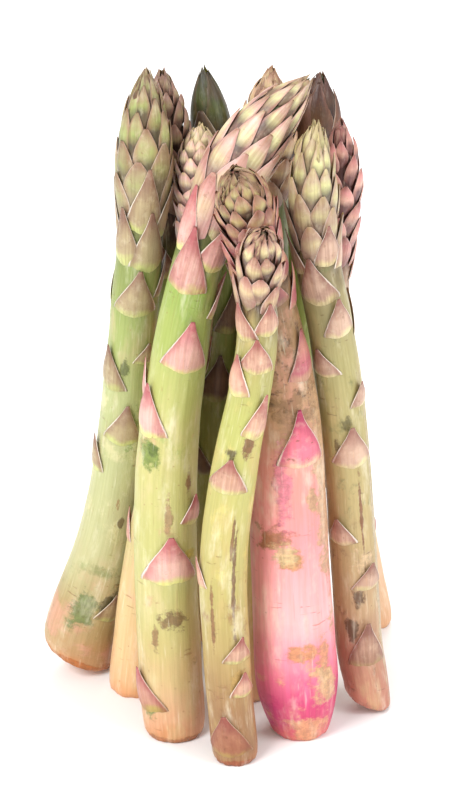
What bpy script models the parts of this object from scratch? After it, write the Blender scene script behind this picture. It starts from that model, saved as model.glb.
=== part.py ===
"""A loose bunch of eleven green and purple asparagus spears that stands upright on its cut ends, the feet
spread and the heads leaning together. Nothing ties them. Each spear is one solid: a tapering stem along its
own bent centre line, low triangular scales on the stem, and a closed head of overlapping bracts.
Lengths below are millimetres and the mesh is in metres, +Z up, with the viewer's side at -Y."""

import math

import bpy
import numpy as np

MM = 0.001
SIDES = 16  # points round each ring
FOOT_RINGS = (0.0, 1.5, 4.5, 9.0)  # heights of the rings at the cut end
STEM_RING_GAP = 6.0  # about this far between rings up the stem
HEAD_RINGS = 13
HEAD_WIDEST = 0.38  # how far up its length a head is widest
LEVEL_CUT_LENGTH = 16.0  # over this height the rings turn from the plane of the cut to square across the stem
BRACT_STEP = 6  # points round the ring from one bract to the next: 3/8 of a turn
BRACT_RISE, GROOVE_DEPTH = 0.25, 0.75
SCALE_RISE = 0.8

# Each centre line runs from the cut end to the tip. A scale is (height of its base up the stem, angle round
# the stem from the front towards +X in degrees, width, length). cut_slope is how fast the cut end rises to +X.
SPEARS = (
    dict(
        name="spear_left_olive",
        colour=(0.30, 0.33, 0.13),
        line=((-51, 14.5, 0), (-48, 15.5, 20), (-41, 15.5, 46), (-34.8, 13, 83), (-30, 6.5, 134), (-27, 4, 175),
              (-25.5, 4, 214)),
        stem=(12.6, 8.8, 7.2),
        butt=(11.2, 5.0),
        head=(52, 8.8, 0.55),
        scales=((25, 45, 10, 11), (75, -70, 8, 13), (90, -8, 10, 14), (109, -50, 11, 15), (138, 0, 12, 16),
                (48, 150, 11, 13), (82, -150, 11, 14), (112, 140, 11, 14), (135, -140, 11, 14)),
        cut_slope=-0.45,
    ),
    dict(
        name="spear_behind_left_plum",
        colour=(0.33, 0.19, 0.17),
        line=((-23, 36, 0), (-21, 34, 40), (-19.5, 30, 90), (-19, 26, 145), (-20, 23, 178), (-21, 22, 208)),
        stem=(9.0, 8.0, 7.0),
        butt=(8.4, 2.5),
        head=(48, 7.8, 0.7),
        scales=((38, 170, 11, 12), (66, 60, 10, 12), (92, -150, 10, 13), (116, 150, 10, 13), (140, -20, 10, 13)),
    ),
    dict(
        name="spear_stubby_peach",
        colour=(0.55, 0.36, 0.24),
        line=((-31, 0, 0), (-27, 1, 40), (-19, 2.5, 90), (-12, 6.5, 132), (-9, 8.5, 166), (-9, 9, 194.3)),
        stem=(9.5, 8.0, 6.8),
        butt=(8.9, 2.5),
        head=(34, 8.0, 1.0),
        scales=((52, -100, 10, 12), (84, 170, 10, 12), (118, 150, 9, 11), (136, -60, 9, 12), (150, -10, 9, 12)),
    ),
    dict(
        name="spear_back_dark",
        colour=(0.17, 0.20, 0.08),
        line=((-3, 34, 0), (-5, 28, 40), (-5, 21.5, 90), (-3.5, 20, 125), (-4.6, 27.5, 175), (-8, 31, 206)),
        stem=(8.5, 7.6, 6.6),
        butt=(8.0, 2.5),
        head=(44, 7.2, 0.6),
        scales=((40, 160, 10, 12), (70, -40, 10, 12), (104, 0, 10, 13), (126, 38, 9, 13), (142, 170, 9, 13)),
    ),
    dict(
        name="spear_back_gold",
        colour=(0.42, 0.30, 0.15),
        line=((7, -4, 0), (7, 2, 40), (9, 10, 90), (11.9, 20, 140), (11.6, 26.8, 172), (13.2, 27, 207)),
        stem=(8.5, 7.8, 7.0),
        butt=(8.0, 2.5),
        head=(44, 8.3, 0.7),
        scales=((44, 100, 10, 12), (78, 170, 10, 12), (108, -130, 10, 13), (132, 60, 9, 13), (150, -20, 9, 12)),
    ),
    dict(
        name="spear_back_brown",
        colour=(0.31, 0.19, 0.12),
        line=((20, 44, 0), (20, 43, 45), (21, 42, 95), (23.5, 40, 140), (26.8, 38.5, 170), (29.2, 36, 203)),
        stem=(9.0, 8.0, 7.0),
        butt=(8.4, 2.5),
        head=(44, 8.8, 0.6),
        scales=((36, 150, 11, 13), (68, 20, 10, 12), (96, -170, 10, 13), (122, 110, 10, 13), (144, -150, 9, 13)),
    ),
    dict(
        name="spear_front_green",
        colour=(0.44, 0.53, 0.22),
        line=((-17.8, -29, 0), (-19.8, -23.5, 44), (-20, -19, 85), (-15, -17, 132), (-9.5, -13.5, 158),
              (-3.5, -10, 176), (8, -6.5, 195), (25, -3, 214)),
        stem=(10.3, 10.2, 7.8),
        butt=(9.4, 4.0),
        head=(60, 10.2, 0.6),
        scales=((12, -60, 15, 14), (56, 8, 17, 15), (74, 65, 9, 9), (107, -50, 13, 16), (130, 12, 14, 16),
                (156, -15, 11, 17), (34, 165, 12, 13), (88, -160, 12, 14), (118, 160, 11, 14)),
    ),
    dict(
        name="spear_front_curved",
        colour=(0.56, 0.58, 0.24),
        line=((2, -46, 0), (-0.8, -42, 36), (-1.6, -39, 69), (2.5, -37, 103), (8, -36.5, 134),
              (8.6, -39, 156), (9.5, -45.5, 173), (10.5, -52.5, 182)),
        stem=(7.5, 7.6, 6.2),
        butt=(7.0, 2.5),
        head=(34, 6.8, 0.9),
        scales=((5, -20, 12, 11), (37, 25, 8, 8), (95, -26, 11, 11), (114, 26, 7, 12), (128, -60, 9, 12),
                (138, 2, 9, 11), (60, 160, 9, 11), (84, -160, 9, 11), (108, 150, 8, 11)),
    ),
    dict(
        name="spear_pink_thick",
        colour=(0.72, 0.33, 0.40),
        line=((23.2, -28, 0), (21, -26, 30), (19, -22, 70), (17, -18.5, 112), (12, -19.5, 145),
              (7, -25, 171), (3.5, -32, 187), (1.5, -38, 195.5)),
        stem=(14.0, 12.5, 8.4),
        butt=(9.0, 20.0),
        head=(36, 8.6, 1.0),
        scales=((100, 24, 13, 17), (129, 50, 9, 13), (60, 160, 15, 15), (92, -160, 14, 15), (124, 160, 11, 14)),
    ),
    dict(
        name="spear_right_pale",
        colour=(0.53, 0.54, 0.29),
        line=((45.8, -13.5, 0), (43, -10.5, 18), (40.3, -8, 54), (37.4, -8, 90), (33, -10, 127), (27.5, -12, 158),
              (25.5, -14, 182), (26.5, -14, 203)),
        stem=(7.9, 7.7, 7.0),
        butt=(7.8, 1.5),
        head=(46, 7.6, 0.7),
        scales=((19, 18, 9, 14), (46, 30, 9, 8), (63, -25, 7, 7), (91, 15, 11, 12), (110, 55, 7, 8),
                (127, -32, 8, 8), (139, 25, 8, 11), (152, -16, 10, 14), (34, 160, 9, 11), (100, 170, 9, 11)),
        cut_slope=-0.38,
    ),
    dict(
        name="spear_far_right_purple",
        colour=(0.50, 0.25, 0.28),
        line=((49, 46, 0), (43.5, 39, 32), (36.8, 27, 79), (32.2, 15, 130), (32.8, 9, 152), (34.8, 7, 176),
              (34.5, 6, 197)),
        stem=(8.0, 7.2, 6.2),
        butt=(7.4, 2.5),
        head=(46, 6.8, 0.8),
        scales=((40, 60, 9, 11), (70, 150, 9, 11), (98, 80, 9, 12), (122, -170, 9, 12), (140, 60, 8, 12)),
    ),
)


def smooth(x):
    x = np.clip(x, 0.0, 1.0)
    return x * x * (3.0 - 2.0 * x)


def centre_line(points):
    """(length, position, tangent): the smooth curve through the points as two functions of the distance along it."""
    points = np.array(points, float)
    at = np.concatenate(([0.0], np.cumsum(np.linalg.norm(np.diff(points, axis=0), axis=1))))
    slopes = np.empty_like(points)
    slopes[1:-1] = (points[2:] - points[:-2]) / (at[2:] - at[:-2])[:, None]
    slopes[0] = (points[1] - points[0]) / at[1]
    slopes[-1] = (points[-1] - points[-2]) / (at[-1] - at[-2])

    fine = np.linspace(0.0, at[-1], 600)
    i = np.clip(np.searchsorted(at, fine) - 1, 0, len(points) - 2)
    step = (at[i + 1] - at[i])[:, None]
    u = (fine - at[i])[:, None] / step
    curve = (
        (2 * u**3 - 3 * u**2 + 1) * points[i]
        + (u**3 - 2 * u**2 + u) * step * slopes[i]
        + (3 * u**2 - 2 * u**3) * points[i + 1]
        + (u**3 - u**2) * step * slopes[i + 1]
    )
    along = np.concatenate(([0.0], np.cumsum(np.linalg.norm(np.diff(curve, axis=0), axis=1))))
    tangents = np.gradient(curve, along, axis=0)

    def position(s):
        return np.array([np.interp(s, along, curve[:, k]) for k in range(3)])

    def tangent(s):
        t = np.array([np.interp(s, along, tangents[:, k]) for k in range(3)])
        return t / np.linalg.norm(t)

    return along[-1], position, tangent


def body_radius(s, length, spear):
    """The stem widens to its middle, narrows to the neck, swells into the head and closes at the tip."""
    foot, middle, neck = spear["stem"]
    butt_radius, butt_length = spear["butt"]
    head_length, head_radius, bluntness = spear["head"]
    stem_length = length - head_length
    if s <= stem_length:
        a = s / stem_length
        if a < 0.45:
            radius = foot + (middle - foot) * smooth(a / 0.45)
        else:
            radius = middle + (neck - middle) * smooth((a - 0.45) / 0.55)
        return radius + (butt_radius - foot) * (1.0 - smooth(s / butt_length * 0.5 + 0.5)) * 2.0
    u = (s - stem_length) / head_length
    swell = neck + (head_radius - neck) * smooth(u / HEAD_WIDEST)
    w = max(0.0, (u - HEAD_WIDEST) / (1.0 - HEAD_WIDEST))
    close = (1.0 - w ** (1.3 + 1.2 * bluntness)) ** (0.6 if bluntness > 0.85 else 0.75)
    return swell * max(close, 0.1)


def scale_relief(s, angle, radius, spear):
    """How far the low triangular scales stand out of the stem here: broad at the base, fading to the tip."""
    most = 0.0
    for base, turn, width, length in spear["scales"]:
        t = (s - base) / length
        across = radius * abs(math.remainder(angle - math.radians(turn), 2.0 * math.pi))
        if -0.12 < t < 1.0:
            half = 0.5 * width * (1.0 - max(t, 0.0))
            side = np.clip(1.3 - across / max(half, 0.1), 0.0, 1.0)
            most = max(most, SCALE_RISE * side * smooth((t + 0.12) / 0.12) * (1.0 - 0.6 * t))
    return most


def bract_relief(ring, side):
    """Raised bracts on a 3/8-turn spiral, each three points wide and four rings long, with grooves between."""
    most = 0.0
    for back, rise in enumerate((0.7, 1.0, 0.8, 0.4)):
        away = (side - BRACT_STEP * (ring - back)) % SIDES
        away = min(away, SIDES - away)
        most = max(most, rise * (1.0, 0.7, 0.0)[min(away, 2)])
    return -GROOVE_DEPTH + (GROOVE_DEPTH + BRACT_RISE) * most


def spear_mesh(spear):
    """(points, faces) of one spear in millimetres: rings of SIDES points, the cut end and the tip point."""
    length, position, tangent = centre_line(spear["line"])
    head_length = spear["head"][0]
    stem_length = length - head_length
    stem_count = round((stem_length - FOOT_RINGS[-1]) / STEM_RING_GAP)
    heights = list(FOOT_RINGS) + list(np.linspace(FOOT_RINGS[-1], stem_length, stem_count + 1)[1:])
    first_head = len(heights)
    heights += [stem_length + head_length * (0.985 * (k + 1) / HEAD_RINGS) for k in range(HEAD_RINGS)]

    points = []
    for ring, s in enumerate(heights):
        middle, up = position(s), tangent(s)
        front = np.array([0.0, -1.0, 0.0]) + up * up[1]
        front /= np.linalg.norm(front)
        right = np.cross(up, front)
        base_radius = body_radius(s, length, spear)
        for side in range(SIDES):
            angle = 2.0 * math.pi * side / SIDES
            radius = base_radius + scale_relief(s, angle, base_radius, spear)
            if ring >= first_head:
                fade = min(1.0, (ring - first_head + 1) / 3.0, base_radius / 4.0)
                radius += fade * bract_relief(ring - first_head, side)
            points.append(middle + radius * (math.cos(angle) * front + math.sin(angle) * right))
    points.append(position(length))
    points = np.array(points)

    # The cut end is one plane, level or sloping, and the rings above it ease back to square across the stem.
    slope = spear.get("cut_slope", 0.0)
    lowest = (slope * points[:SIDES, 0]).min()
    for ring, s in enumerate(heights):
        if s < LEVEL_CUT_LENGTH:
            rows = slice(ring * SIDES, (ring + 1) * SIDES)
            square = points[rows, 2].copy()
            plane = slope * points[rows, 0] - lowest + s
            points[rows, 2] = plane + (square - plane) * smooth(s / LEVEL_CUT_LENGTH)

    last = (len(heights) - 1) * SIDES
    faces = [tuple(range(SIDES - 1, -1, -1))]
    for start in range(0, last, SIDES):
        for side in range(SIDES):
            after = (side + 1) % SIDES
            faces.append((start + side, start + after, start + SIDES + after, start + SIDES + side))
    tip = len(points) - 1
    faces += [(last + side, last + (side + 1) % SIDES, tip) for side in range(SIDES)]
    return points, faces


def principled(name, colour):
    material = bpy.data.materials.new(name)
    material.use_nodes = True
    shader = material.node_tree.nodes["Principled BSDF"]
    shader.inputs["Base Color"].default_value = (*colour, 1.0)
    shader.inputs["Roughness"].default_value = 0.42
    material.diffuse_color = (*colour, 1.0)
    return material


for obj in list(bpy.data.objects):
    bpy.data.objects.remove(obj)

meshes = [(spear, *spear_mesh(spear)) for spear in SPEARS]
everything = np.concatenate([points for _, points, _ in meshes])
centre = 0.5 * (everything.min(axis=0) + everything.max(axis=0))
centre[2] = everything[:, 2].min()  # the cut ends stand on z = 0

for spear, points, faces in meshes:
    mesh = bpy.data.meshes.new(spear["name"])
    mesh.from_pydata(((points - centre) * MM).tolist(), [], faces)
    for polygon in mesh.polygons:
        polygon.use_smooth = len(polygon.vertices) < SIDES
    mesh.materials.append(principled(spear["name"], spear["colour"]))
    bpy.context.scene.collection.objects.link(bpy.data.objects.new(spear["name"], mesh))
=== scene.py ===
"""A loose bunch of eleven fresh asparagus spears, green, pink and purple, standing on their cut ends."""

import math

import bmesh
import bpy
import numpy as np
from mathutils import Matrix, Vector
from mathutils.bvhtree import BVHTree


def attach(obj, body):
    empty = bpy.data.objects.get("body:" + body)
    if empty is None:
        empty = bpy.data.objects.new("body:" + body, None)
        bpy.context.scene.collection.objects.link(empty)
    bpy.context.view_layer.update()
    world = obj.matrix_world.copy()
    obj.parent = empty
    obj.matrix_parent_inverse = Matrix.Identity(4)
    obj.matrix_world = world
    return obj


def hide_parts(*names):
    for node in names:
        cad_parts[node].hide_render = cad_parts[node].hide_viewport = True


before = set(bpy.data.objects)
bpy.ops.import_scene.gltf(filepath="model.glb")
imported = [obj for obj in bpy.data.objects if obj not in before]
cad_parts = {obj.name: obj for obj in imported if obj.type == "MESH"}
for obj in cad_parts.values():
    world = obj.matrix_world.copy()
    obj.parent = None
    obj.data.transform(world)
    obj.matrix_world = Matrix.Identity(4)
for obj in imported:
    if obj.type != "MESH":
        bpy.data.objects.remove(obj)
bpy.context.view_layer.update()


# ---- The thick olive spear at the left ---------------------------------------------------------------------
# A spear is one young shoot: a juicy round stem, a few triangular scales on it and a closed bud of scales at
# its tip. This one is thick at the foot, olive green above, and dry and peach-brown at its slanting cut. The
# way every spear is grown and painted is made here, for this one first.
MM = 0.001


class Wire:
    """One output of a node. Arithmetic on wires adds Math nodes to their tree."""

    def __init__(self, socket):
        self.socket = socket

    def math(self, operation, *others):
        sockets = dict(enumerate((self, *others)))
        return node(self.socket.id_data, "ShaderNodeMath", {"operation": operation}, sockets)

    def output(self, name):
        return Wire(self.socket.node.outputs[name])

    def limited(self, low=0.0, high=1.0):
        return self.math("MAXIMUM", low).math("MINIMUM", high)

    def smooth(self, low, high):
        """0 below low, 1 above high, and an eased step between."""
        settings = {"interpolation_type": "SMOOTHSTEP"}
        return node(self.socket.id_data, "ShaderNodeMapRange", settings, {0: self, 1: low, 2: high})

    def __add__(self, other):
        return self.math("ADD", other)

    def __sub__(self, other):
        return self.math("SUBTRACT", other)

    def __mul__(self, other):
        return self.math("MULTIPLY", other)

    def __truediv__(self, other):
        return self.math("DIVIDE", other)

    def __pow__(self, other):
        return self.math("POWER", other)

    def __rsub__(self, other):
        return (self * -1.0) + other

    def __rtruediv__(self, other):
        return (self ** -1.0) * other

    __radd__ = __add__
    __rmul__ = __mul__


def node(tree, kind, settings=None, sockets=None, output=0):
    """Adds a node, sets its settings first and then its sockets, and returns one of its outputs."""
    made = tree.nodes.new(kind)
    for name, value in (settings or {}).items():
        if name == "stops":
            ramp = made.color_ramp
            while len(ramp.elements) < len(value):
                ramp.elements.new(0.5)
            for element, (place, colour) in zip(ramp.elements, value):
                element.position = place
                element.color = colour
        else:
            setattr(made, name, value)
    for name, value in (sockets or {}).items():
        for one in value if isinstance(value, list) else [value]:
            if isinstance(one, Wire):
                tree.links.new(one.socket, made.inputs[name])
            else:
                made.inputs[name].default_value = one
    return Wire(made.outputs[output]) if made.outputs else None


def vector(tree, operation, a, b, output=0):
    return node(tree, "ShaderNodeVectorMath", {"operation": operation}, {0: a, 1: b}, output)


def stretched(tree, place, x, y, z):
    return vector(tree, "MULTIPLY", place, (x, y, z))


def noise(tree, place, size, detail=2.0, roughness=0.5):
    """Noise whose lumps are about size metres across, from 0 to 1 round 0.5."""
    sockets = {"Vector": place, "Scale": 1.0 / size, "Detail": detail, "Roughness": roughness}
    return node(tree, "ShaderNodeTexNoise", {}, sockets)


CUT_CLEAR = 12 * MM  # a slanting cut rises less than this, and the first section is taken above it
LEVEL_SLOPE = 0.05  # a cut flatter than this counts as level
SECTION_STEP = 2 * MM
MOST_SECTIONS = 140
FEELERS = 24  # rays from the middle of a section out to its skin
FEELER_OFFSET = 0.37  # keeps the rays off the solid's own seams
FEELER_REACH = 30 * MM
LEAST_HITS = 20
CLOSED_RADIUS = 1.6 * MM  # the stem is closed where it is thinner than this
TIP_RADIUS = 0.3 * MM


def feel_inside(name):
    """Follows the inside of a spear's solid from its cut end to its tip, square across the stem at each step.

    Returns the middle and the mean radius of each section, and the slope and height of the cut."""
    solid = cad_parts[name].data
    points = [v.co.copy() for v in solid.vertices]
    faces = [tuple(p.vertices) for p in solid.polygons]
    tree = BVHTree.FromPolygons(points, faces)

    lowest = min(p.z for p in points)
    under = [p for p in solid.polygons if p.normal.z < -0.8 and p.center.z < lowest + CUT_CLEAR]
    rim = np.array([points[i] for p in under for i in p.vertices])
    rim = np.unique(np.round(rim, 6), axis=0)
    slope, height = np.linalg.lstsq(np.c_[rim[:, 0], np.ones(len(rim))], rim[:, 2], rcond=None)[0]
    if abs(slope) < LEVEL_SLOPE:
        slope, height = 0.0, lowest
    middle_x, middle_y, _ = 0.5 * (rim.min(axis=0) + rim.max(axis=0))

    ahead = Vector((0, 0, 1))
    middles = [Vector((middle_x, middle_y, lowest))]
    radii = [0.5 * float(np.ptp(rim[:, 1]))]
    for _ in range(MOST_SECTIONS):
        step = CUT_CLEAR if slope and len(middles) == 1 else SECTION_STEP
        guess = middles[-1] + ahead * step
        side = ahead.orthogonal().normalized()
        other = ahead.cross(side)
        hits = []
        for k in range(FEELERS):
            turn = 2 * math.pi * (k + FEELER_OFFSET) / FEELERS
            ray = side * math.cos(turn) + other * math.sin(turn)
            hit = tree.ray_cast(guess, ray, FEELER_REACH)[0]
            if hit is not None:
                hits.append(hit)
        if len(hits) < LEAST_HITS:
            break
        middle = sum(hits, Vector()) / len(hits)
        radii.append(sum((h - middle).length for h in hits) / len(hits))
        back = middles[max(0, len(middles) - 4)]
        if len(middles) > 3 or slope:
            ahead = (middle - back).normalized()
        middles.append(middle)
        if radii[-1] < CLOSED_RADIUS:
            break
    middles.append(max(points, key=lambda p: (p - middles[-1]).dot(ahead)))
    radii = np.array([*radii, TIP_RADIUS])
    middles = np.array(middles)

    for _ in range(3):  # three rounds of smoothing
        middles[1:-1] = 0.25 * (middles[:-2] + middles[2:]) + 0.5 * middles[1:-1]
        radii[1:-1] = 0.25 * (radii[:-2] + radii[2:]) + 0.5 * radii[1:-1]
    return middles, radii, float(slope), float(height)


def added(name, data):
    """An object in the scene, with that mesh, curve, lamp or camera."""
    made = bpy.data.objects.new(name, data)
    bpy.context.scene.collection.objects.link(made)
    return made


def centre_curve(middles, radii):
    curve = bpy.data.curves.new("centre line", "CURVE")
    curve.dimensions = "3D"
    spline = curve.splines.new("POLY")
    spline.points.add(len(middles) - 1)
    for point, middle, radius in zip(spline.points, middles, radii):
        point.co = (*middle, 1.0)
        point.radius = radius
    return added("centre line", curve)


def scale_shape(name, rows, base_dip, thickness):
    """A thin closed scale, 1 wide and 1 long, lying flat, its base's point at y = 0 and its tip at y = 1.

    Each row, from base to tip, is (how far along, half width, rise of the keel, rise of the edges). base_dip
    is how far the base hangs down in its middle."""
    columns = 6
    shape = bmesh.new()
    across_layer = shape.verts.layers.float.new("across")
    along_layer = shape.verts.layers.float.new("along")

    def point(row, column, below):
        along, half_width, keel, edge = rows[row]
        across = 2 * column / columns - 1
        hang = base_dip * (1 - abs(across)) ** 1.3 * (1 - along) ** 2
        rise = keel + (edge - keel) * across * across
        up = (along + base_dip - hang) / (1 + base_dip)
        made = shape.verts.new((half_width * across, up, rise - below * thickness))
        made[across_layer] = across
        made[along_layer] = along
        return made

    last = len(rows) - 1
    top = [[point(r, c, 0) for c in range(columns + 1)] for r in range(last + 1)]
    bottom = [
        [point(r, c, 1) if 0 < r < last and 0 < c < columns else top[r][c] for c in range(columns + 1)]
        for r in range(last + 1)
    ]
    for r in range(last):
        for c in range(columns):
            shape.faces.new((top[r][c], top[r][c + 1], top[r + 1][c + 1], top[r + 1][c]))
            shape.faces.new((bottom[r + 1][c], bottom[r + 1][c + 1], bottom[r][c + 1], bottom[r][c]))
    mesh = bpy.data.meshes.new(name)
    shape.to_mesh(mesh)
    shape.free()
    return added(name, mesh)


STEM_SCALE = scale_shape(
    "stem scale shape",
    rows=(
        (0.00, 0.450, -0.40, -0.40),
        (0.07, 0.495, 0.30, 0.25),
        (0.20, 0.425, 0.75, 0.45),
        (0.38, 0.315, 1.00, 0.55),
        (0.56, 0.200, 1.15, 0.70),
        (0.74, 0.085, 1.25, 0.95),
        (1.00, 0.006, 1.35, 1.30),
    ),
    base_dip=0.12,
    thickness=0.28,
)
HEAD_SCALE = scale_shape(
    "head scale shape",
    rows=(
        (0.00, 0.380, -1.00, -1.30),
        (0.16, 0.475, -0.10, -0.40),
        (0.34, 0.500, 0.55, 0.00),
        (0.54, 0.430, 1.00, 0.25),
        (0.72, 0.295, 1.15, 0.45),
        (0.88, 0.140, 1.15, 0.70),
        (1.00, 0.010, 1.05, 0.98),
    ),
    base_dip=0.25,
    thickness=0.40,
)

STRAIGHT_RADIUS = 9 * MM  # the straightened spear that patterns are laid on
CUT_EASE = 16 * MM  # over this height the rings turn from the plane of the cut to square across the stem
SKIN_ROWS = 320
SKIN_COLUMNS = 73  # the last lies on the first, and they are merged
SEAM_GAP = 0.02 * MM  # points of the skin nearer than this are merged
THINNEST = 0.1 * MM
GOLDEN_TURN = math.pi * (3 - math.sqrt(5))
FAIR_STEPS = (0.618034, 0.754878)  # multiples of these spread evenly over 0 to 1
HEAD_START = 1.12  # the lowest head scales stand this many head lengths below the tip
HEAD_CLIMB = 1.06  # and the spiral of them climbs this many head lengths
WIDEST_ARC = 2.6  # no head scale goes further round the stem than this, in radians


def spear_tree():
    """The tree that grows one spear: a skin on the centre line, scales up the stem and a spiral of them at
    the head. All are laid out flat, as turn, height and distance off the skin, then wrapped on the line."""
    tree = bpy.data.node_groups.new("asparagus spear", "GeometryNodeTree")
    kinds = {
        "Centre Line": "Object", "Length": "Float", "Foot Radius": "Float",
        "Cut Slope": "Float", "Cut Height": "Float",
        "Stem Scale": "Object", "Head Scale": "Object", "Stem Scale Places": "Object",
        "Head Length": "Float", "Head Scales": "Int",
        "Head Scale Width": "Float", "Head Scale Length": "Float",
        "Tip Taper": "Float", "Crowding": "Float", "Lift": "Float", "Head Lift": "Float",
        "Tip Shreds": "Int", "Crumple": "Float", "Looseness": "Float", "Seed": "Float", "Lumps": "Float",
        "Skin": "Material", "Scales": "Material",
    }
    for name, kind in kinds.items():
        tree.interface.new_socket(name, in_out="INPUT", socket_type="NodeSocket" + kind)
    tree.interface.new_socket("Spear", in_out="OUTPUT", socket_type="NodeSocketGeometry")
    given = node(tree, "NodeGroupInput")
    length = given.output("Length")
    foot_radius = given.output("Foot Radius")
    head_length = given.output("Head Length")
    seed = given.output("Seed")
    line = node(tree, "GeometryNodeObjectInfo", {}, {"Object": given.output("Centre Line")}, "Geometry")

    def at(height):
        """The centre line's position, with its tangent and radius beside it, that far up the spear."""
        sockets = {"Curves": line, "Value": node(tree, "GeometryNodeInputRadius"), "Length": height}
        return node(tree, "GeometryNodeSampleCurve", {"mode": "LENGTH"}, sockets, "Position")

    def parted(whole):
        split = node(tree, "ShaderNodeSeparateXYZ", {}, {0: whole})
        return split, split.output("Y"), split.output("Z")

    def combined(x, y, z):
        return node(tree, "ShaderNodeCombineXYZ", {}, {0: x, 1: y, 2: z})

    def times(direction, size):
        return vector(tree, "MULTIPLY", direction, combined(size, size, size))

    def stored(geometry, name, kind, value):
        settings = {"data_type": kind, "domain": "POINT"}
        sockets = {"Geometry": geometry, "Name": name, "Value": value}
        return node(tree, "GeometryNodeStoreNamedAttribute", settings, sockets)

    def named(name):
        return node(tree, "GeometryNodeInputNamedAttribute", {"data_type": "FLOAT"}, {"Name": name})

    def placed(geometry, position):
        return node(tree, "GeometryNodeSetPosition", {}, {"Geometry": geometry, "Position": position})

    def shifted(geometry, offset):
        return node(tree, "GeometryNodeSetPosition", {}, {"Geometry": geometry, "Offset": offset})

    def shape_of(name):
        return node(tree, "GeometryNodeObjectInfo", {}, {"Object": given.output(name)}, "Geometry")

    def scattered(shape, points, size):
        sockets = {"Points": points, "Instance": shape, "Scale": size}
        return node(tree, "GeometryNodeInstanceOnPoints", {}, sockets)

    def painted(geometry, material):
        smooth = node(tree, "GeometryNodeSetShadeSmooth", {}, {"Geometry": geometry})
        sockets = {"Geometry": smooth, "Material": given.output(material)}
        return node(tree, "GeometryNodeSetMaterial", {}, sockets)

    def straightened(geometry):
        """Keeps each point's place on a straight spear, for the patterns of the paints."""
        turn, height, _ = parted(node(tree, "GeometryNodeInputPosition"))
        x = turn.math("COSINE") * STRAIGHT_RADIUS
        y = turn.math("SINE") * STRAIGHT_RADIUS
        return stored(geometry, "straight", "FLOAT_VECTOR", combined(x, y, height))

    def wrapped(geometry):
        """Bends the flat layout round the centre line, and slants its lowest rings to lie along the cut."""
        turn, height, off = parted(node(tree, "GeometryNodeInputPosition"))
        centre = at(height.math("MAXIMUM", 0.0))
        along = vector(tree, "NORMALIZE", centre.output("Tangent"), (0, 0, 0))
        facing = vector(tree, "DOT_PRODUCT", along, (0, 1, 0), "Value")
        front = vector(tree, "ADD", (0, -1, 0), times(along, facing))
        front = vector(tree, "NORMALIZE", front, (0, 0, 0))
        outward = node(
            tree, "ShaderNodeVectorRotate", {"rotation_type": "AXIS_ANGLE"},
            {"Vector": front, "Axis": along, "Angle": turn},
        )
        on_cut = (height / foot_radius + 1.0).limited()
        reach = (centre.output("Value") + off).math("MAXIMUM", THINNEST) * on_cut
        past_tip = (height - length).math("MAXIMUM", 0.0)
        place = vector(tree, "ADD", centre, times(outward, reach))
        place = vector(tree, "ADD", place, times(along, past_tip))
        x, y, z = parted(place)
        up = height.math("MAXIMUM", 0.0)
        plane = given.output("Cut Slope") * x + given.output("Cut Height") + up
        square = up.smooth(0.0, CUT_EASE)
        return placed(geometry, combined(x, y, plane + (z - plane) * square))

    # The skin: a sheet rolled into a tube, with a disc at the foot, closed along its seam and at its ends.
    # Its heights below 0 are the disc. The relief is soft ribs and dents, and a ragged worn rim at the cut.
    sheet = node(
        tree, "GeometryNodeMeshGrid", {},
        {
            "Size X": 2 * math.pi, "Size Y": length + foot_radius,
            "Vertices X": SKIN_COLUMNS, "Vertices Y": SKIN_ROWS,
        },
    )
    sheet = straightened(shifted(sheet, combined(0.0, (length - foot_radius) * 0.5, 0.0)))
    straight_settings = {"data_type": "FLOAT_VECTOR"}
    straight = node(tree, "GeometryNodeInputNamedAttribute", straight_settings, {"Name": "straight"})
    moved = vector(tree, "ADD", straight, combined(seed, seed, seed))
    ribs = noise(tree, stretched(tree, moved, 1, 1, 0.05), 4 * MM) - 0.5
    dents = noise(tree, stretched(tree, moved, 1, 1, 0.5), 14 * MM) - 0.5
    _, height, _ = parted(node(tree, "GeometryNodeInputPosition"))
    in_head = ((height - length + head_length) / (6 * MM)).limited()
    relief = ribs * (0.5 * MM) + dents * given.output("Lumps") - in_head * (0.8 * MM)
    ragged = noise(tree, moved, 3 * MM, 3.0).smooth(0.35, 0.65) * (0.7 * MM) + 0.5 * MM
    worn_rim = ragged * (1.0 - height.smooth(-0.5 * MM, 2.2 * MM))
    sheet = shifted(sheet, combined(0.0, 0.0, relief * height.smooth(0.0, 2 * MM) - worn_rim))
    closed = {"Geometry": wrapped(sheet), "Distance": SEAM_GAP}
    skin = painted(node(tree, "GeometryNodeMergeByDistance", {}, closed), "Skin")

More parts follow.
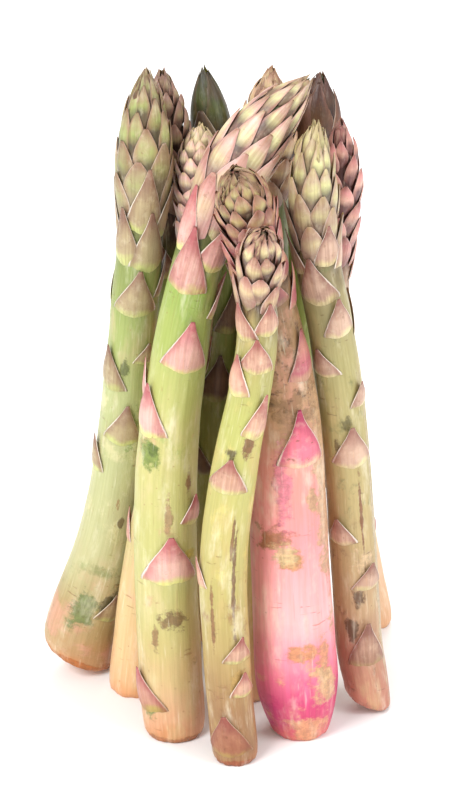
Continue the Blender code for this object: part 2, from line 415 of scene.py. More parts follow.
    # The head's scales: a golden-angle spiral that tightens towards the tip, each scale a little smaller.
    count = given.output("Head Scales")
    index = node(tree, "GeometryNodeInputIndex")
    part = index / (count - 1.0)
    chance, chance_b = ((index * step + seed).math("FRACT") for step in FAIR_STEPS)
    climb = 1.0 - (1.0 - part) ** given.output("Crowding")
    shrink = 1.0 - part ** 1.3 * given.output("Tip Taper")
    spiral_start = length - head_length * HEAD_START
    spiral_height = spiral_start + head_length * HEAD_CLIMB * climb + (chance - 0.5) * (1.2 * MM)
    spiral_turn = index * GOLDEN_TURN + seed * 7.0 + (chance_b - 0.5) * 0.35
    spiral = combined(spiral_turn, spiral_height, 0.0)
    head_points = node(tree, "GeometryNodePoints", {}, {"Count": count, "Position": spiral})
    head_points = stored(head_points, "chance", "FLOAT", chance)
    head_points = stored(head_points, "head", "FLOAT", part * 1.4 + 0.45)
    radius_there = at(spiral_height).output("Value")
    width = given.output("Head Scale Width") * shrink * (chance * 0.2 + 0.9)
    long = given.output("Head Scale Length") * shrink * (chance_b * 0.24 + 0.88)
    reach_to_tip = length - spiral_height + (chance_b - 0.6) * (3 * MM)
    head_size = combined(
        (width / radius_there).math("MINIMUM", WIDEST_ARC),
        long.math("MINIMUM", reach_to_tip),
        given.output("Head Lift") * (1.0 - part * 0.35),
    )
    bud = scattered(shape_of("Head Scale"), head_points, head_size)

    # The stem's scales: few, each where a branch would have grown, on the places listed for this spear.
    places = stored(shape_of("Stem Scale Places"), "chance", "FLOAT", chance)
    _, stem_height, _ = parted(node(tree, "GeometryNodeInputPosition"))
    arc = named("wide") / at(stem_height).output("Value")
    stem_shape = shape_of("Stem Scale")
    few = scattered(stem_shape, places, combined(arc, named("long"), given.output("Lift")))

    # Dried shreds round the very tip, standing a little away from it.
    shred_height = length - (chance * 7.0 + 6.0) * MM
    round_tip = combined(index * 2.1 + seed, shred_height, 0.0)
    shred_count = given.output("Tip Shreds")
    shred_points = node(tree, "GeometryNodePoints", {}, {"Count": shred_count, "Position": round_tip})
    shred_points = stored(shred_points, "chance", "FLOAT", chance_b)
    shred_points = stored(shred_points, "head", "FLOAT", 1.8)
    shred_size = combined(
        (2.4 * MM / at(shred_height).output("Value")).math("MINIMUM", 1.2),
        (chance_b * 4.0 + 4.0) * MM, (chance_b * 1.2 + 0.8) * MM,
    )
    shreds = scattered(stem_shape, shred_points, shred_size)

    # Every scale is real mesh from here on: it leans, stands off a little, creases and curls in its own way.
    scales = node(tree, "GeometryNodeJoinGeometry", {}, {"Geometry": [bud, few, shreds]})
    scales = node(tree, "GeometryNodeRealizeInstances", {}, {"Geometry": scales})
    turn, height, off = parted(node(tree, "GeometryNodeInputPosition"))
    along = named("along")
    own = named("chance")
    lean = (own * 7.31).math("FRACT") - 0.5
    stand = (own * 3.77).math("FRACT") * along ** 2.5 * given.output("Looseness")
    closing = ((length - height) / (9 * MM)).limited(0.35, 1.0)
    loosened = combined(turn + lean * along * 0.35, height, off * closing + stand)
    scales = straightened(placed(scales, loosened))
    creased_at = vector(tree, "ADD", straight, combined(own, own, own))
    crease = noise(tree, creased_at, 5 * MM) - 0.5
    curl = noise(tree, stretched(tree, creased_at, -1, 1, 1), 4 * MM) - 0.5
    amount = along ** 0.5 * given.output("Crumple")
    crumpled = combined(curl * amount / STRAIGHT_RADIUS, curl * amount * 0.7, crease * amount)
    scales = wrapped(shifted(scales, crumpled))
    scales = node(tree, "GeometryNodeSubdivisionSurface", {}, {"Mesh": scales, "Level": 1})
    scales = painted(scales, "Scales")

    spear = node(tree, "GeometryNodeJoinGeometry", {}, {"Geometry": [scales, skin]})
    node(tree, "NodeGroupOutput", {}, {"Spear": spear})
    return tree


SPEAR_TREE = spear_tree()


def paint(red, green, blue):
    """A colour from its three display values, 0 to 255, as the linear one that a shader takes."""
    values = (v / 255 for v in (red, green, blue))
    return (*(v / 12.92 if v < 0.04045 else ((v + 0.055) / 1.055) ** 2.4 for v in values), 1.0)


def mixed(tree, amount, a, b, blend="MIX"):
    settings = {"data_type": "RGBA", "blend_type": blend}
    return node(tree, "ShaderNodeMix", settings, {0: amount, 6: a, 7: b}, 2)


def attribute(tree, name, output="Fac"):
    return node(tree, "ShaderNodeAttribute", {"attribute_name": name}, {}, output)


def plant_material(name, build):
    """A Principled material for moist plant flesh. build(tree) gives its colour, roughness, relief and the
    depth of that relief."""
    material = bpy.data.materials.new(name)
    material.use_nodes = True
    tree = material.node_tree
    tree.nodes.clear()
    colour, roughness, relief, depth = build(tree)
    bump = node(tree, "ShaderNodeBump", {}, {"Height": relief, "Distance": depth, "Strength": 0.8})
    shader = node(
        tree, "ShaderNodeBsdfPrincipled", {},
        {
            "Base Color": colour, "Roughness": roughness, "Normal": bump,
            "Subsurface Weight": 0.12, "Subsurface Radius": (1.0, 0.8, 0.4), "Subsurface Scale": 1.5 * MM,
            "Specular IOR Level": 0.4,
        },
    )
    node(tree, "ShaderNodeOutputMaterial", {}, {"Surface": shader})
    return material


def skin_material(name, length, seed, stops, blotch, patches=(), marks=(), scar=(150, 108, 66)):
    """Stem skin: colours up the stem, fine fibres along it, blotches, pale dust, and small dry scars.

    A patch is (its colour, where on the stem it starts and ends, from 0 to 1, lump size, threshold). A mark
    is one wound, stain or scratch: (its colour, height, turn from the front, half height, half width)."""

    def build(tree):
        straight = attribute(tree, "straight", "Vector")
        place = vector(tree, "ADD", straight, (seed, seed * 0.5, 0.0))
        height = node(tree, "ShaderNodeSeparateXYZ", {}, {0: straight}, 2) / length
        cloud = noise(tree, place, 16 * MM, 3.0)
        fibres = noise(tree, stretched(tree, place, 1, 1, 0.035), 0.9 * MM, 3.0, 0.6)
        grain = noise(tree, place, 1.2 * MM, 3.0, 0.6)
        climb = height + (cloud - 0.5) * 0.12
        # each skin's last, darkest stop lies under the head: painted shade seen between the head's scales
        painted_stops = [(at, paint(*shade)) for at, shade in stops]
        colour = node(tree, "ShaderNodeValToRGB", {"stops": painted_stops}, {0: climb})
        blotches = noise(tree, stretched(tree, place, 1, 1, 0.45), 9 * MM, 4.0, 0.6).smooth(0.5, 0.72)
        colour = mixed(tree, blotches * 0.5, colour, paint(*blotch))
        crust = 0.0
        for shade, low, high, lump, threshold in patches:
            band = climb.smooth(low - 0.03, low + 0.03) * (1.0 - climb.smooth(high - 0.05, high + 0.05))
            spread = noise(tree, vector(tree, "ADD", place, (lump, 0, 0)), lump * MM, 5.0, 0.65)
            patch = spread.smooth(threshold - 0.02, threshold + 0.12) * band
            colour = mixed(tree, patch * 0.7, colour, paint(*shade))
            crust = patch + crust
        ragged = (noise(tree, place, 4.5 * MM, 6.0, 0.7) - 0.5) * 3.2
        mottle = noise(tree, place, 1.5 * MM, 4.0, 0.7)
        for shade, up, turn, tall, wide in marks:
            angle = math.radians(turn)
            centre = (STRAIGHT_RADIUS * math.cos(angle), STRAIGHT_RADIUS * math.sin(angle), up * MM)
            away = vector(tree, "SUBTRACT", straight, centre)
            away = stretched(tree, away, 1 / (wide * MM), 1 / (wide * MM), 1 / (tall * MM))
            spot = 1.0 - (vector(tree, "LENGTH", away, (0, 0, 0), "Value") + ragged).smooth(0.55, 1.1)
            darker = paint(*(value * 0.8 for value in shade))
            stain = mixed(tree, mottle.smooth(0.3, 0.7), darker, paint(*shade))
            colour = mixed(tree, spot * 0.85, colour, stain)
            crust = crust + spot
        shaded = mixed(tree, 1.0, colour, paint(188, 190, 150), "MULTIPLY")
        colour = mixed(tree, (fibres - 0.5) * 0.8 + 0.25, colour, shaded)
        dust = noise(tree, stretched(tree, place, 1, 1, 0.3), 6 * MM, 4.0, 0.7).smooth(0.5, 0.75)
        colour = mixed(tree, dust * 0.35, colour, paint(246, 240, 214))
        hairs = noise(tree, stretched(tree, place, 1, 1, 0.06), 0.7 * MM, 2.0, 0.5)
        colour = mixed(tree, hairs.smooth(0.64, 0.76) * 0.2, colour, paint(250, 244, 220))
        colour = mixed(tree, (1.0 - hairs.smooth(0.25, 0.36)) * 0.25, colour, paint(*scar))
        spacing = {"Vector": place, "Scale": 1 / (4.5 * MM)}
        specks = node(tree, "ShaderNodeTexVoronoi", {}, spacing, "Distance")
        specks = 1.0 - (specks + (grain - 0.5) * 0.08).smooth(0.03, 0.09)
        colour = mixed(tree, specks * 0.45, colour, paint(*scar))
        nicks = noise(tree, stretched(tree, place, 0.6, 0.6, 3.6), 5 * MM, 3.0, 0.6).smooth(0.64, 0.7)
        nicks = nicks * noise(tree, stretched(tree, place, -1, 1, 1), 11 * MM).smooth(0.48, 0.6)
        colour = mixed(tree, nicks * 0.45, colour, paint(*scar))
        scars = noise(tree, stretched(tree, place, 1, 1, 0.3), 5.5 * MM, 5.0, 0.7).smooth(0.66, 0.72)
        scars = scars * noise(tree, place, 30 * MM).smooth(0.45, 0.6)
        colour = mixed(tree, scars * 0.8, colour, paint(*scar))
        roughness = 0.42 + (grain - 0.5) * 0.3 + scars * 0.3
        relief = fibres * 0.5 + grain * 0.35 + scars * 0.8 + crust * 0.7 - nicks * 0.9
        return colour, roughness, relief, 0.25 * MM

    return plant_material(name, build)


def scale_material(name, seed, stem, head, speckle=0.35, bloomed=0.22):
    """Scale paint. stem and head each give the colours of the base line, the body, the tip and the margins.

    speckle is how strong the dried spots are, and bloomed how strong the pale waxy bloom."""

    def build(tree):
        straight = attribute(tree, "straight", "Vector")
        along = attribute(tree, "along")
        across = attribute(tree, "across")
        own = attribute(tree, "chance")
        up_head = attribute(tree, "head")
        in_head = up_head.limited()
        place = vector(tree, "ADD", straight, (seed, seed * 0.5, 0.0))
        cloud = noise(tree, place, 7 * MM, 4.0, 0.6)
        grain = noise(tree, place, 1.1 * MM, 3.0, 0.6)
        veins = noise(tree, stretched(tree, place, 1, 1, 0.06), 0.9 * MM, 3.0, 0.55)
        climb = along + (cloud - 0.5) * 0.3

        def run(colours, places):
            base, body, tip = (paint(*shade) for shade in colours[:3])
            # dark: the body colour at half brightness, painted shade where the outer head scales overlap
            dark = paint(*(value * 0.48 for value in colours[1]))
            shades = {"base": base, "body": body, "tip": tip, "dark": dark}
            stops = [(at, shades[shade]) for at, shade in places]
            return node(tree, "ShaderNodeValToRGB", {"stops": stops}, {0: climb})

        on_stem = run(stem, ((0.0, "base"), (0.1, "base"), (0.2, "body"), (0.42, "body"), (0.76, "tip")))
        # lower part of each head scale, under the scales outside it, painted dark as shade
        in_bud = run(head, ((0.0, "dark"), (0.36, "dark"), (0.55, "base"), (0.74, "body"), (0.97, "tip")))
        colour = mixed(tree, in_head, on_stem, in_bud)
        edge = across.math("ABSOLUTE") + (cloud - 0.5) * 0.3
        margin = mixed(tree, in_head, paint(*stem[3]), paint(*head[3]))
        deeper = mixed(tree, in_head, paint(*stem[2]), margin)
        deeper = mixed(tree, 1.0, deeper, paint(242, 232, 228), "MULTIPLY")
        colour = mixed(tree, cloud.smooth(0.42, 0.7) * (own * 0.4 + 0.1), colour, deeper)
        colour = mixed(tree, edge.smooth(0.4, 0.85) * 0.65, colour, deeper)
        pale = mixed(tree, 0.55 - in_head * 0.3, margin, paint(252, 246, 232))
        near_tip = up_head.smooth(0.9, 1.9) * (cloud.smooth(0.3, 0.6) * 0.45 + 0.45)
        colour = mixed(tree, near_tip, colour, paint(*head[2]))
        colour = mixed(tree, edge.smooth(0.8, 0.92) * (0.9 - in_head * 0.3), colour, pale)
        # rim: thin dark line at each head scale's edge, painted shadow where it overlaps the next
        rim = paint(*(value * 0.5 for value in head[2]))
        colour = mixed(tree, edge.smooth(0.9, 0.98) * in_head * 0.9, colour, rim)
        shaded = mixed(tree, 1.0, colour, paint(176, 154, 142), "MULTIPLY")
        tone = (own * 5.7).math("FRACT") * 0.5 - 0.1
        colour = mixed(tree, (veins - 0.47) * 1.7 + tone, colour, shaded)
        # vein ridges lightened past their own colour: pale veins plus a painted highlight along the ridges
        colour = mixed(tree, veins.smooth(0.56, 0.75) * 0.7, colour, (1.45, 1.45, 1.3, 1.0), "MULTIPLY")
        bloom = noise(tree, place, 4 * MM, 4.0, 0.65).smooth(0.5, 0.75)
        colour = mixed(tree, bloom * bloomed, colour, paint(238, 226, 196))
        # scale paint darker towards the foot of the spear
        darker_near_foot = mixed(tree, 1.0, colour, paint(196, 164, 138), "MULTIPLY")
        height = node(tree, "ShaderNodeSeparateXYZ", {}, {0: straight}, 2)
        colour = mixed(tree, 1.0 - height.smooth(4 * MM, 34 * MM), colour, darker_near_foot)
        spots = noise(tree, place, 2.4 * MM, 4.0, 0.7).smooth(0.6, 0.7)
        colour = mixed(tree, spots * speckle, colour, paint(112, 78, 50))
        roughness = 0.4 + (grain - 0.5) * 0.3 + spots * 0.25
        relief = veins * 0.5 + cloud * 1.2 + grain * 0.4
        return colour, roughness, relief, 0.3 * MM

    return plant_material(name, build)


def stem_places(scales):
    """A point for each stem scale, as (height up the stem, turn from the front in degrees, width, length).

    A scale close under the head has a fifth value, how far its paint is the head's."""
    mesh = bpy.data.meshes.new("stem scale places")
    mesh.from_pydata([(math.radians(scale[1]), scale[0] * MM, 0) for scale in scales], [], [])
    columns = {
        "wide": [scale[2] * MM for scale in scales],
        "long": [scale[3] * MM for scale in scales],
        "head": [scale[4] if len(scale) > 4 else 0.0 for scale in scales],
    }
    for name, column in columns.items():
        mesh.attributes.new(name, "FLOAT", "POINT").data.foreach_set("value", column)
    return added("stem scale places", mesh)


def grow(name, cad_node, skin, scales_paint, stem_scales, head, seed, lift=1.1, lumps=0.8, looseness=0.6):
    """Makes one spear round its CAD node. Sizes are in millimetres, turns in degrees, colours 0 to 255."""
    middles, radii, slope, cut_height = feel_inside(cad_node)
    length = float(np.linalg.norm(np.diff(middles, axis=0), axis=1).sum())
    line = centre_curve(middles, radii)
    places = stem_places(stem_scales)
    values = {
        "Centre Line": line, "Length": length, "Foot Radius": float(radii[0]),
        "Cut Slope": slope, "Cut Height": cut_height,
        "Stem Scale": STEM_SCALE, "Head Scale": HEAD_SCALE, "Stem Scale Places": places,
        "Head Length": head["length"] * MM, "Head Scales": head["scales"],
        "Head Scale Width": head["scale_width"] * MM, "Head Scale Length": head["scale_length"] * MM,
        "Tip Taper": head.get("taper", 0.55), "Crowding": head.get("crowding", 1.3),
        "Head Lift": head.get("lift", 1.0) * MM,
        "Tip Shreds": head.get("shreds", 0), "Crumple": head.get("crumple", 0.9) * MM,
        "Lift": lift * MM, "Looseness": looseness * MM, "Seed": seed, "Lumps": lumps * MM,
        "Skin": skin_material(name + " skin", length, seed, **skin),
        "Scales": scale_material(name + " scales", seed, **scales_paint),
    }
    spear = added(name, bpy.data.meshes.new(name))
    growth = spear.modifiers.new("growth", "NODES")
    growth.node_group = SPEAR_TREE
    for socket in SPEAR_TREE.interface.items_tree:
        if socket.in_out == "INPUT":
            growth[socket.identifier] = values[socket.name]
    graph = bpy.context.evaluated_depsgraph_get()
    evaluated = spear.evaluated_get(graph)
    grown = bpy.data.meshes.new_from_object(evaluated, preserve_all_data_layers=True, depsgraph=graph)
    spear.modifiers.remove(growth)
    spear.data = grown
    for helper in (line, places):
        bpy.data.objects.remove(helper)
    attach(spear, "root")
    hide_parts(cad_node)


grow(
    "olive_spear_left", "spear_left_olive",
    skin=dict(
        # the top, darkest stop of every spear's skin lies under the head: painted shade between its scales
        stops=(
            (0.0, (206, 128, 74)), (0.03, (190, 146, 104)), (0.1, (178, 154, 108)), (0.2, (192, 188, 142)),
            (0.4, (188, 190, 140)), (0.6, (162, 174, 102)), (0.72, (138, 150, 84)), (0.8, (72, 70, 40)),
        ),
        blotch=(206, 182, 146),
        patches=(
            ((118, 138, 76), 0.06, 0.24, 12, 0.57), ((214, 158, 136), 0.02, 0.16, 14, 0.5),
            ((222, 214, 168), 0.2, 0.5, 13, 0.55),
        ),
        marks=(
            ((112, 132, 70), 26, -12, 8, 4), ((98, 86, 56), 30, 32, 5, 2.5),
            ((122, 104, 70), 60, 20, 2.5, 1.2), ((150, 172, 96), 96, 14, 8, 2.5),
            ((104, 110, 62), 118, -12, 4, 1.5), ((196, 116, 58), 1.5, 0, 2, 16),
        ),
    ),
    scales_paint=dict(
        stem=((196, 200, 126), (180, 162, 124), (138, 104, 86), (232, 214, 184)),
        head=((156, 168, 100), (174, 166, 122), (118, 86, 62), (160, 118, 100)),
    ),
    stem_scales=(
        (22, 45, 17, 13), (75, -72, 13, 17), (88, -6, 16, 19), (107, -48, 16, 20), (119, 34, 10, 10),
        (135, 0, 19, 20), (150, 32, 17, 25), (152, -42, 15, 24), (163, 8, 15, 27),
        (48, 150, 15, 15), (82, -150, 15, 16), (112, 140, 15, 17), (135, -130, 15, 19), (140, 95, 15, 19),
        (158, 160, 14, 22), (160, -100, 14, 22), (161, 80, 14, 22),
    ),
    head=dict(length=50, scales=44, scale_width=11.5, scale_length=25, taper=0.6, lift=0.95, shreds=12),
    seed=1.3,
)


# ---- The big green spear in front --------------------------------------------------------------------------
# A thick fresh shoot that stands left of the middle and bends its closed head over to the right. Its skin
# goes from peach at the cut through pale yellow-green to green, and its scales are pink with cream bases.
grow(
    "green_spear_front", "spear_front_green",
    skin=dict(
        stops=(
            (0.0, (206, 140, 92)), (0.02, (214, 158, 122)), (0.07, (208, 170, 128)), (0.14, (200, 182, 122)),
            (0.24, (194, 190, 124)), (0.42, (196, 190, 122)), (0.56, (178, 184, 108)), (0.66, (150, 172, 86)),
            (0.72, (92, 96, 52)),
        ),
        blotch=(216, 198, 152),
        patches=(
            ((156, 134, 88), 0.02, 0.15, 9, 0.62), ((150, 172, 96), 0.36, 0.66, 14, 0.56),
            ((206, 166, 128), 0.1, 0.5, 11, 0.6),
        ),
        marks=(
            ((122, 146, 62), 98, -36, 6, 4), ((104, 122, 50), 100, -30, 2.6, 2),
            ((222, 206, 96), 63, 48, 1.6, 3.2), ((138, 104, 72), 42, 12, 3.4, 5),
            ((158, 120, 84), 36, -24, 5, 1.2), ((188, 150, 112), 76, 6, 9, 1.2),
            ((150, 108, 78), 88, 46, 5, 1.2), ((94, 100, 52), 140, 14, 1.3, 1.1),
            ((120, 146, 74), 12, -40, 5, 3), ((186, 118, 76), 1.0, 0, 1.4, 14),
        ),
    ),
    scales_paint=dict(
        stem=((218, 214, 134), (228, 180, 168), (184, 104, 108), (250, 230, 214)),
        head=((218, 216, 162), (224, 190, 174), (140, 116, 80), (210, 150, 150)),
    ),
    stem_scales=(
        (8, -62, 24, 18), (52, 8, 25, 20), (72, 64, 15, 13), (101, -52, 20, 21), (124, 12, 21, 20),
        (148, -20, 18, 25), (157, 34, 16, 18), (160, -62, 16, 24), (112, -100, 14, 16), (34, 165, 18, 16),
        (88, -160, 17, 17), (118, 160, 17, 18), (140, 100, 17, 20), (158, 150, 15, 20),
    ),
    head=dict(length=62, scales=54, scale_width=10.5, scale_length=30, taper=0.55, lift=1.1, crowding=1.15),
    seed=2.6, lift=1.25,
)


# ---- The thin curved spear in front ------------------------------------------------------------------------
# The thinnest shoot, yellow-green, standing foremost with a gentle double bend; its small head nods forward
# and shows its tip. Long brown scratches run down its skin.
grow(
    "curved_spear_front", "spear_front_curved",
    skin=dict(
        stops=(
            (0.0, (170, 112, 70)), (0.03, (150, 108, 74)), (0.09, (158, 118, 82)), (0.18, (176, 148, 98)),
            (0.3, (186, 172, 108)), (0.45, (190, 180, 112)), (0.62, (184, 184, 108)), (0.76, (170, 160, 100)),
            (0.82, (84, 60, 44)),
        ),
        blotch=(206, 178, 122),
        patches=(((150, 104, 74), 0.02, 0.3, 9, 0.58), ((212, 196, 120), 0.3, 0.7, 10, 0.55)),
        marks=(
            ((120, 78, 56), 62, 24, 20, 0.8), ((140, 96, 68), 78, 16, 9, 0.7),
            ((126, 74, 52), 110, 22, 5, 2.2), ((86, 70, 48), 106, -20, 2, 3.2),
            ((150, 104, 70), 50, -30, 12, 0.9), ((168, 84, 50), 1, 0, 1.5, 12),
            ((196, 158, 96), 28, 30, 5, 5),
        ),
    ),
    scales_paint=dict(
        stem=((214, 206, 138), (212, 170, 146), (162, 96, 90), (242, 218, 194)),
        head=((218, 204, 150), (206, 168, 142), (144, 98, 82), (150, 94, 94)),
    ),
    stem_scales=(
        (2, -16, 21, 17), (34, 30, 13, 11), (91, -22, 19, 15), (110, 36, 12, 19), (123, -54, 14, 18),
        (132, 4, 15, 16), (22, 40, 12, 11), (58, -75, 10, 13), (60, 160, 13, 13),
        (84, -160, 13, 13), (108, 150, 12, 14), (143, -46, 13, 17), (145, 34, 12, 16), (142, 160, 12, 16),
    ),
    head=dict(
        length=36, scales=38, scale_width=9, scale_length=18, taper=0.5, lift=1.2, crowding=1.4, crumple=1.8,
        shreds=12,
    ),
    seed=3.9, lumps=0.6,
)


# ---- The very thick pink spear -----------------------------------------------------------------------------
# The oldest and fattest shoot: deep magenta low down where it grew in the soil, pink in the middle, tan and
# fibrous above. Crusts of dried skin spot it, and its foot was broken off rather than cut and tapers.
grow(
    "pink_spear_thick", "spear_pink_thick",
    skin=dict(
        stops=(
            (0.0, (218, 104, 104)), (0.03, (208, 68, 114)), (0.07, (212, 74, 124)), (0.13, (242, 122, 154)),
            (0.21, (254, 178, 182)), (0.34, (242, 152, 158)), (0.47, (232, 152, 144)),
            (0.53, (188, 146, 110)), (0.72, (150, 118, 84)), (0.78, (80, 56, 40)),
        ),
        blotch=(232, 156, 146),
        patches=(
            ((226, 176, 132), 0.0, 0.16, 6, 0.58), ((194, 56, 114), 0.0, 0.13, 11, 0.5),
            ((136, 102, 70), 0.53, 0.9, 6, 0.46), ((92, 66, 46), 0.55, 0.88, 2.6, 0.55),
        ),
        marks=(
            ((176, 116, 74), 71, -26, 5, 4.5), ((206, 156, 96), 64, 4, 4, 3.5),
            ((228, 196, 150), 66, -10, 4, 4), ((214, 150, 96), 32, 14, 3, 4),
            ((226, 160, 116), 28, 46, 9, 2.2), ((232, 132, 154), 88, -6, 15, 2.4),
            ((238, 172, 130), 4, 12, 6, 6.5), ((208, 168, 128), 84, 74, 40, 4.5),
            ((232, 186, 140), 20, 44, 8, 4), ((206, 168, 128), 83, 40, 4, 1.6),
            ((170, 130, 96), 112, 20, 2.4, 7),
        ),
        scar=(168, 96, 84),
    ),
    scales_paint=dict(
        stem=((236, 180, 150), (226, 116, 134), (160, 52, 84), (240, 186, 176)),
        head=((178, 166, 108), (164, 132, 102), (118, 88, 60), (184, 132, 116)),
        speckle=0.65,
    ),
    stem_scales=(
        (92, 26, 21, 24), (120, 50, 16, 21, 0.4), (60, 160, 21, 19), (92, -160, 20, 19),
        (120, 160, 17, 18, 0.3), (134, -34, 15, 18, 0.6), (144, 90, 15, 18, 0.6), (146, -110, 15, 18, 0.6),
        (148, 14, 16, 18, 0.7), (152, -60, 16, 18, 0.7), (156, 50, 15, 16, 0.7),
    ),
    head=dict(
        length=38, scales=76, scale_width=9, scale_length=17, taper=0.7, lift=1.2, crowding=1.7, crumple=2.8,
        shreds=18,
    ),
    seed=5.2, lift=1.1, looseness=0.9,
)


# ---- The pale olive spear at the right ---------------------------------------------------------------------
# A slim shoot, dull olive and beige, cut on a slant so that only the toe of the cut touches the table. Its
# scales are brown and bruised, and the straw-coloured tips of its head have dried and frayed.
grow(
    "pale_spear_right", "spear_right_pale",
    skin=dict(
        stops=(
            (0.0, (190, 120, 102)), (0.06, (182, 124, 104)), (0.16, (184, 146, 116)), (0.26, (188, 162, 120)),
            (0.45, (184, 168, 116)), (0.62, (174, 164, 112)), (0.74, (164, 150, 108)), (0.8, (84, 66, 46)),
        ),
        blotch=(202, 178, 132),
        patches=(((126, 90, 68), 0.0, 0.34, 7, 0.59), ((128, 130, 86), 0.36, 0.8, 8, 0.6)),
        marks=(
            ((228, 196, 158), 54, 26, 6, 4.5), ((94, 62, 46), 42, 6, 4, 3),
            ((140, 84, 60), 70, 26, 16, 0.7), ((122, 112, 74), 104, 6, 3, 2.4),
            ((130, 108, 74), 96, -20, 2.5, 1.6), ((206, 186, 156), 60, 70, 60, 1.6),
            ((98, 72, 50), 30, -16, 5, 2.4),
        ),
        scar=(120, 80, 56),
    ),
    scales_paint=dict(
        stem=((216, 200, 150), (204, 170, 148), (144, 100, 88), (242, 220, 200)),
        head=((204, 202, 144), (196, 178, 146), (190, 174, 120), (168, 130, 118)),
    ),
    stem_scales=(
        (14, 18, 17, 21), (43, 34, 15, 12), (60, -28, 13, 12), (87, 16, 18, 18), (108, 60, 12, 11),
        (120, -34, 14, 13), (133, 28, 14, 17), (145, -12, 17, 20), (158, 34, 13, 18), (34, 160, 13, 13),
        (100, 170, 13, 13), (76, -140, 14, 14), (130, 120, 14, 17), (155, 90, 14, 18), (155, -75, 14, 18),
    ),
    head=dict(length=46, scales=48, scale_width=9.5, scale_length=22, taper=0.6, lift=1.0, shreds=24),
    seed=6.5, looseness=1.5,
)


# ---- The stubby peach spear --------------------------------------------------------------------------------
# A short shoot between the olive and the green ones. Its peach-pink head is blunt and has opened a little at
# the top, where the buds stand as small yellow-green grains.
grow(
    "peach_spear", "spear_stubby_peach",
    skin=dict(
        stops=(
            (0.0, (226, 160, 112)), (0.03, (228, 182, 136)), (0.08, (230, 190, 142)), (0.25, (208, 188, 136)),
            (0.5, (172, 166, 102)), (0.7, (190, 144, 116)), (0.78, (96, 66, 48)),
        ),
        blotch=(234, 174, 150),
    ),
    scales_paint=dict(
        stem=((226, 214, 150), (234, 186, 172), (200, 136, 132), (248, 220, 208)),
        head=((228, 214, 174), (238, 198, 190), (206, 192, 132), (226, 174, 172)),
    ),
    stem_scales=(
        (52, -100, 14, 14), (84, 170, 14, 14), (112, 120, 14, 15), (124, -20, 14, 17), (134, -70, 14, 18),
        (142, -8, 15, 20), (146, 60, 14, 17),
    ),
    head=dict(
        length=38, scales=80, scale_width=9.5, scale_length=10.5, taper=0.6, lift=1.2, crowding=1.8,
        crumple=1.6,
    ),
    seed=7.8,
)


# ---- The plum-brown spear behind the olive one -------------------------------------------------------------
# A slim shoot that leans in behind its neighbour, so that only its head rises clear: a bud of many short
# scales, plum at their bases and brown at their tips.
grow(
    "plum_spear_behind", "spear_behind_left_plum",
    skin=dict(
        stops=(
            (0.0, (206, 160, 120)), (0.1, (190, 166, 116)), (0.3, (170, 170, 102)), (0.65, (140, 146, 80)),
            (0.76, (74, 50, 42)),
        ),
        blotch=(190, 140, 116),
    ),
    scales_paint=dict(
        stem=((196, 180, 124), (168, 124, 112), (128, 88, 78), (212, 176, 152)),
        head=((172, 160, 120), (162, 130, 116), (112, 80, 66), (200, 156, 142)),
        speckle=0.5,
    ),
    stem_scales=(
        (38, 170, 14, 14), (66, 60, 14, 14), (92, -150, 14, 15), (116, 150, 15, 17), (138, -20, 15, 17),
    ),
    head=dict(
        length=50, scales=60, scale_width=10, scale_length=15, taper=0.5, lift=1.9, crumple=1.5, shreds=8,
    ),
    seed=9.1,
)


# ---- The three spears at the back --------------------------------------------------------------------------
# A dark olive and a brown one, each closed by a few long dark scales, and a golden one between them whose top
# is small, brown and crumbly. Below their heads they are plain green shoots. The brown one's head is painted
# darker than its own brown too: painted shade, deep in the bunch between the front heads.
for name, cad_node, head_paint, scale_paint, stem_scales, head, seed in (
    (
        "dark_spear_back", "spear_back_dark",
        ((76, 88, 34), (54, 56, 30), (44, 36, 22), (98, 80, 44)),
        ((160, 156, 96), (118, 92, 74), (90, 64, 52), (168, 142, 110)),
        ((40, 160, 14, 14), (70, -40, 15, 17), (98, 4, 17, 20), (121, 38, 15, 19), (138, 170, 14, 17),
         (139, -50, 14, 18)),
        dict(length=46, scales=12, scale_width=20, scale_length=40, taper=0.3, lift=1.1, crowding=1.0), 10.4,
    ),
    (
        "gold_spear_back", "spear_back_gold",
        ((230, 212, 160), (226, 190, 154), (134, 90, 66), (228, 192, 162)),
        ((180, 168, 112), (160, 114, 92), (118, 82, 62), (200, 170, 136)),
        ((44, 100, 14, 14), (78, 170, 14, 14), (104, -130, 14, 16), (128, 60, 14, 16), (146, -20, 14, 17)),
        dict(length=46, scales=66, scale_width=10, scale_length=15, taper=0.55, lift=2.0, crowding=1.5,
             crumple=1.8, shreds=20),
        11.7,
    ),
    (
        "brown_spear_back", "spear_back_brown",
        # brown head paint, darkened past its own brown as painted shade deep in the bunch
        ((84, 62, 38), (72, 44, 32), (66, 32, 26), (124, 78, 56)),
        ((170, 150, 104), (134, 94, 78), (98, 66, 54), (182, 146, 118)),
        ((36, 150, 15, 15), (68, 20, 14, 14), (96, -170, 14, 15), (118, 110, 14, 16), (140, -150, 14, 16)),
        dict(length=46, scales=12, scale_width=21, scale_length=40, taper=0.3, lift=1.0, crowding=1.0), 13.0,
    ),
):
    grow(
        name, cad_node,
        skin=dict(
            stops=(
                (0.0, (214, 160, 124)), (0.08, (196, 164, 112)), (0.3, (168, 168, 96)),
                (0.55, (136, 146, 76)), (0.76, (116, 126, 64)), (0.84, (66, 62, 36)),
            ),
            blotch=(160, 140, 96),
        ),
        scales_paint=dict(stem=scale_paint, head=head_paint, bloomed=0.06),
        stem_scales=stem_scales, head=head, seed=seed, looseness=0.2,
    )


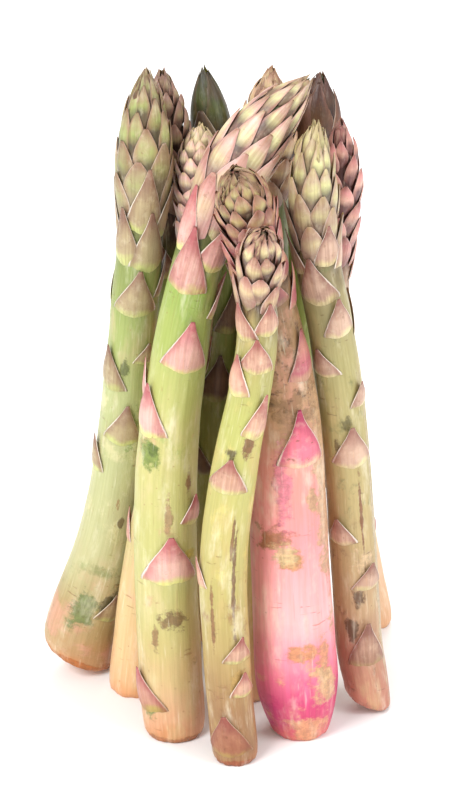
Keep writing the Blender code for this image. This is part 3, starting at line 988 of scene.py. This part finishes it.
# ---- The purple spear at the far right ---------------------------------------------------------------------
# A leaning shoot behind the pale spear. Its stem is cream, and its narrow head is a bud of magenta-brown
# scales whose middles bulge.
grow(
    "purple_spear_far_right", "spear_far_right_purple",
    skin=dict(
        stops=(
            (0.0, (226, 170, 130)), (0.08, (226, 184, 150)), (0.3, (214, 190, 146)), (0.55, (206, 190, 146)),
            (0.7, (206, 170, 142)), (0.77, (84, 46, 44)),
        ),
        blotch=(230, 196, 176),
    ),
    scales_paint=dict(
        stem=((226, 200, 162), (208, 154, 148), (160, 100, 100), (238, 204, 192)),
        head=((224, 174, 156), (214, 144, 140), (134, 84, 80), (232, 178, 168)),
    ),
    stem_scales=(
        (40, 60, 12, 13), (70, 150, 12, 13), (98, 80, 13, 15), (120, -170, 13, 15), (132, 40, 13, 16),
        (142, -20, 14, 18), (146, 110, 13, 16),
    ),
    head=dict(length=50, scales=44, scale_width=10.5, scale_length=16, taper=0.5, lift=1.4, crumple=1.2),
    seed=14.3,
)

for helper in (STEM_SCALE, HEAD_SCALE):
    bpy.data.objects.remove(helper)


# ---- Floor, light and camera -------------------------------------------------------------------------------
# A wide white table top under soft light from all round, as for a catalogue picture: a broad lamp high at the
# left, a weaker one at the right and one behind the bunch.
FLOOR_REACH = 6.0  # metres from the bunch to each edge
floor_corners = [(x * FLOOR_REACH, y * FLOOR_REACH, 0.0) for x, y in ((-1, -1), (1, -1), (1, 1), (-1, 1))]
floor_mesh = bpy.data.meshes.new("floor")
floor_mesh.from_pydata(floor_corners, [], [(0, 1, 2, 3)])
floor = added("floor", floor_mesh)
floor_material = bpy.data.materials.new("white table top")
floor_material.use_nodes = True
floor_shader = floor_material.node_tree.nodes["Principled BSDF"]
floor_shader.inputs["Base Color"].default_value = (0.9, 0.9, 0.9, 1.0)
floor_shader.inputs["Roughness"].default_value = 0.7
floor_mesh.materials.append(floor_material)

world = bpy.data.worlds.new("soft white room")
world.use_nodes = True
world.node_tree.nodes["Background"].inputs["Color"].default_value = (1.0, 1.0, 1.0, 1.0)
world.node_tree.nodes["Background"].inputs["Strength"].default_value = 0.8
bpy.context.scene.world = world


BUNCH_MIDDLE = Vector((0.0, 0.0, 0.11))


def lamp(name, place, size, power):
    """A square lamp, size metres wide, that points at the middle of the bunch."""
    light = bpy.data.lights.new(name, "AREA")
    light.size = size
    light.energy = power
    made = added(name, light)
    made.location = place
    made.rotation_euler = (BUNCH_MIDDLE - Vector(place)).to_track_quat("-Z", "Y").to_euler()


lamp("lamp high left", (-0.7, -0.8, 1.0), size=0.6, power=16.5)
lamp("lamp right", (0.9, -0.5, 0.7), size=0.6, power=7)
lamp("lamp behind", (0.1, 1.0, 0.9), size=0.8, power=10)

CAMERA_LENS = 140.6  # millimetres: a long lens, so that the spears keep their true proportions
CAMERA_TARGET = Vector((3.1 * MM, 0.0, 104.6 * MM))
CAMERA_DISTANCE = 1.0
CAMERA_ELEVATION = math.radians(24)
camera = added("camera", bpy.data.cameras.new("camera"))
camera.data.lens = CAMERA_LENS
camera.data.clip_end = 30.0
camera.location = CAMERA_TARGET + CAMERA_DISTANCE * Vector(
    (0.0, -math.cos(CAMERA_ELEVATION), math.sin(CAMERA_ELEVATION))
)
camera.rotation_euler = (CAMERA_TARGET - camera.location).to_track_quat("-Z", "Y").to_euler()
bpy.context.scene.camera = camera
bpy.context.scene.view_settings.view_transform = "Standard"
